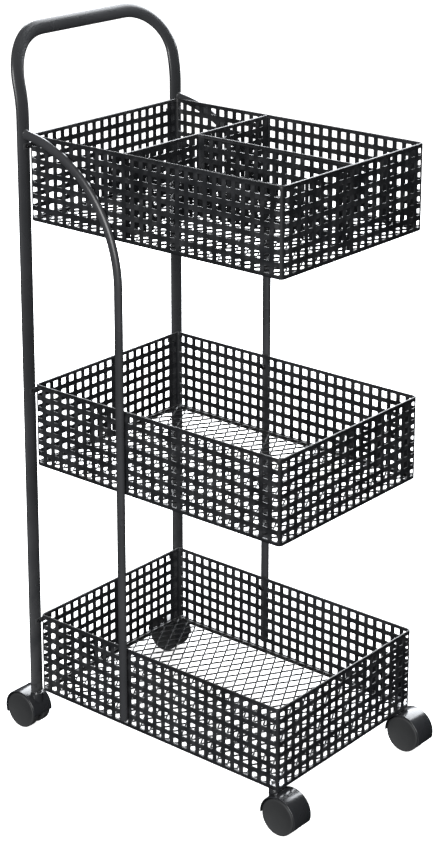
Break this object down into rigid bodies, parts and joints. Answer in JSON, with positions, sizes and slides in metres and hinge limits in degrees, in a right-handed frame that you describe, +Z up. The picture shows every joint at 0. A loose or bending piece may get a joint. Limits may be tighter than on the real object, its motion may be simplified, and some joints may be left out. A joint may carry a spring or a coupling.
{
  "type": "rolling pantry cart",
  "caption": "Slim rolling cart with punched-sheet baskets in tiers, a divided top basket, a bent oval-tube push handle and twin-wheel swivel casters.",
  "frame": {"origin": "on the floor, in the middle of the cart's overall length and width", "axes": "+Z up, +X from the handle end to the free end, +Y to the left of someone who pushes the cart"},
  "size_m": [0.4804, 0.319, 0.9426],
  "materials": {
    "powder_coated_tube": "satin black powder coat",
    "punched_sheet": "satin black powder coat",
    "floor_mesh": "satin black powder coat",
    "caster_plastic": "fine moulded texture",
    "wheel_plastic": "smooth moulded",
    "zinc_steel": "bright zinc plate",
    "black_screws": "black oxide"
  },
  "bodies": {
    "cart": {"top_basket_wall": "punched_sheet", "top_basket_floor": "floor_mesh", "middle_basket_wall": "punched_sheet", "middle_basket_floor": "floor_mesh", "bottom_basket_wall": "punched_sheet", "bottom_basket_floor": "floor_mesh", "cross_divider": "punched_sheet", "lengthwise_divider": "punched_sheet", "handle_frame": "powder_coated_tube", "left_side_bar": "powder_coated_tube", "right_side_bar": "powder_coated_tube", "top_right_post_lug": "punched_sheet", "top_right_post_screw": "black_screws", "top_right_bar_screw": "black_screws", "top_left_post_lug": "punched_sheet", "top_left_post_screw": "black_screws", "top_left_bar_screw": "black_screws", "middle_right_post_lug": "punched_sheet", "middle_right_post_screw": "black_screws", "middle_right_bar_screw": "black_screws", "middle_left_post_lug": "punched_sheet", "middle_left_post_screw": "black_screws", "middle_left_bar_screw": "black_screws", "bottom_right_post_lug": "punched_sheet", "bottom_right_post_screw": "black_screws", "bottom_right_bar_screw": "black_screws", "bottom_left_post_lug": "punched_sheet", "bottom_left_post_screw": "black_screws", "bottom_left_bar_screw": "black_screws", "front_right_caster_plate": "zinc_steel", "front_right_caster_nut": "zinc_steel", "rear_right_post_plug": "caster_plastic", "front_left_caster_plate": "zinc_steel", "front_left_caster_nut": "zinc_steel", "rear_left_post_plug": "caster_plastic", "front_right_caster_stem": "zinc_steel", "front_left_caster_stem": "zinc_steel", "rear_right_caster_stem": "zinc_steel", "rear_left_caster_stem": "zinc_steel"},
    "front_right_caster": {"front_right_caster_hood": "caster_plastic", "front_right_caster_axle": "zinc_steel"},
    "front_right_outer_wheel": {"front_right_caster_outer_wheel": "wheel_plastic"},
    "front_right_inner_wheel": {"front_right_caster_inner_wheel": "wheel_plastic"},
    "front_left_caster": {"front_left_caster_hood": "caster_plastic", "front_left_caster_axle": "zinc_steel"},
    "front_left_outer_wheel": {"front_left_caster_outer_wheel": "wheel_plastic"},
    "front_left_inner_wheel": {"front_left_caster_inner_wheel": "wheel_plastic"},
    "rear_right_caster": {"rear_right_caster_hood": "caster_plastic", "rear_right_caster_axle": "zinc_steel"},
    "rear_right_outer_wheel": {"rear_right_caster_outer_wheel": "wheel_plastic"},
    "rear_right_inner_wheel": {"rear_right_caster_inner_wheel": "wheel_plastic"},
    "rear_left_caster": {"rear_left_caster_hood": "caster_plastic", "rear_left_caster_axle": "zinc_steel"},
    "rear_left_outer_wheel": {"rear_left_caster_outer_wheel": "wheel_plastic"},
    "rear_left_inner_wheel": {"rear_left_caster_inner_wheel": "wheel_plastic"}
  },
  "joints": [
    {"name": "front_right_caster_swivel", "type": "hinge", "parent": "cart", "child": "front_right_caster", "pos_m": [0.19725, -0.1306, 0.05], "axis": [0, 0, 1], "continuous": true},
    {"name": "front_right_outer_wheel_spin", "type": "hinge", "parent": "front_right_caster", "child": "front_right_outer_wheel", "pos_m": [0.21325, -0.1306, 0.024], "axis": [0, 1, 0], "continuous": true},
    {"name": "front_right_inner_wheel_spin", "type": "hinge", "parent": "front_right_caster", "child": "front_right_inner_wheel", "pos_m": [0.21325, -0.1306, 0.024], "axis": [0, 1, 0], "continuous": true},
    {"name": "front_left_caster_swivel", "type": "hinge", "parent": "cart", "child": "front_left_caster", "pos_m": [0.19725, 0.1306, 0.05], "axis": [0, 0, 1], "continuous": true},
    {"name": "front_left_outer_wheel_spin", "type": "hinge", "parent": "front_left_caster", "child": "front_left_outer_wheel", "pos_m": [0.21325, 0.1306, 0.024], "axis": [0, 1, 0], "continuous": true},
    {"name": "front_left_inner_wheel_spin", "type": "hinge", "parent": "front_left_caster", "child": "front_left_inner_wheel", "pos_m": [0.21325, 0.1306, 0.024], "axis": [0, 1, 0], "continuous": true},
    {"name": "rear_right_caster_swivel", "type": "hinge", "parent": "cart", "child": "rear_right_caster", "pos_m": [-0.19725, -0.143, 0.05], "axis": [0, 0, 1], "continuous": true},
    {"name": "rear_right_outer_wheel_spin", "type": "hinge", "parent": "rear_right_caster", "child": "rear_right_outer_wheel", "pos_m": [-0.21325, -0.143, 0.024], "axis": [0, 1, 0], "continuous": true},
    {"name": "rear_right_inner_wheel_spin", "type": "hinge", "parent": "rear_right_caster", "child": "rear_right_inner_wheel", "pos_m": [-0.21325, -0.143, 0.024], "axis": [0, 1, 0], "continuous": true},
    {"name": "rear_left_caster_swivel", "type": "hinge", "parent": "cart", "child": "rear_left_caster", "pos_m": [-0.19725, 0.143, 0.05], "axis": [0, 0, 1], "continuous": true},
    {"name": "rear_left_outer_wheel_spin", "type": "hinge", "parent": "rear_left_caster", "child": "rear_left_outer_wheel", "pos_m": [-0.21325, 0.143, 0.024], "axis": [0, 1, 0], "continuous": true},
    {"name": "rear_left_inner_wheel_spin", "type": "hinge", "parent": "rear_left_caster", "child": "rear_left_inner_wheel", "pos_m": [-0.21325, 0.143, 0.024], "axis": [0, 1, 0], "continuous": true}
  ]
}
